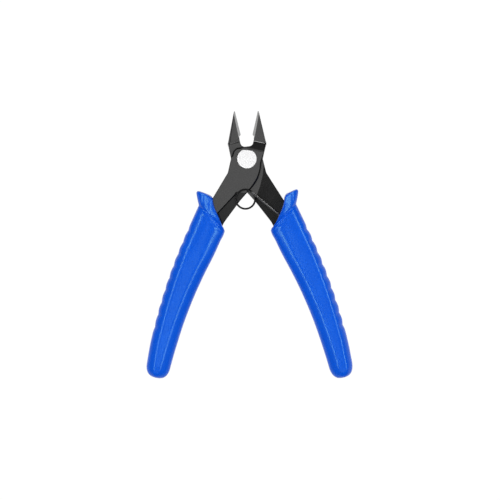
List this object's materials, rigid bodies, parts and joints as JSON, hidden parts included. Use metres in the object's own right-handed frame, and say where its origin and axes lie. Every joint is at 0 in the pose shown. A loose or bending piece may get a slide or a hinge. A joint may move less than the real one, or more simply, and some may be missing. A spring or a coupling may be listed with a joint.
{
  "type": "flush cutter",
  "caption": "Spring-return flush cutter: slim angled jaws, black steel halves crossing on a flush rivet, and moulded grips with thumb guards.",
  "frame": {"origin": "centre of the bounding box, on the plane the grips' backs lie on", "axes": "+Y from the grips to the jaw tips, +Z along the pivot, away from the surface the tool lies on, +X to the right seen from above"},
  "size_m": [0.0938, 0.1224, 0.0113],
  "materials": {
    "black_steel": "satin black oxide",
    "bright_steel": "polished",
    "black_spring_wire": "black oxide",
    "blue_grip": "semi-gloss moulded"
  },
  "bodies": {
    "pivot": {"pivot_rivet": "bright_steel", "return_spring": "black_spring_wire"},
    "front_half": {"front_cutter_half": "black_steel", "left_grip": "blue_grip"},
    "rear_half": {"rear_cutter_half": "black_steel", "right_grip": "blue_grip"}
  },
  "joints": [
    {"name": "front_half_pivot", "type": "hinge", "parent": "pivot", "child": "front_half", "pos_m": [-0.00011, 0.03958, 0.00395], "axis": [0, 0, 1], "range_deg": [0, 13.5], "stiffness_Nm_per_rad": 2, "springref_deg": -2.86, "deforming": ["return_spring"]},
    {"name": "rear_half_pivot", "type": "hinge", "parent": "pivot", "child": "rear_half", "pos_m": [-0.00011, 0.03958, 0.00395], "axis": [0, 0, 1], "range_deg": [-13.5, 0]}
  ],
  "couplings": [
    {"joint": "rear_half_pivot", "follows": "front_half_pivot", "ratio": -1}
  ]
}
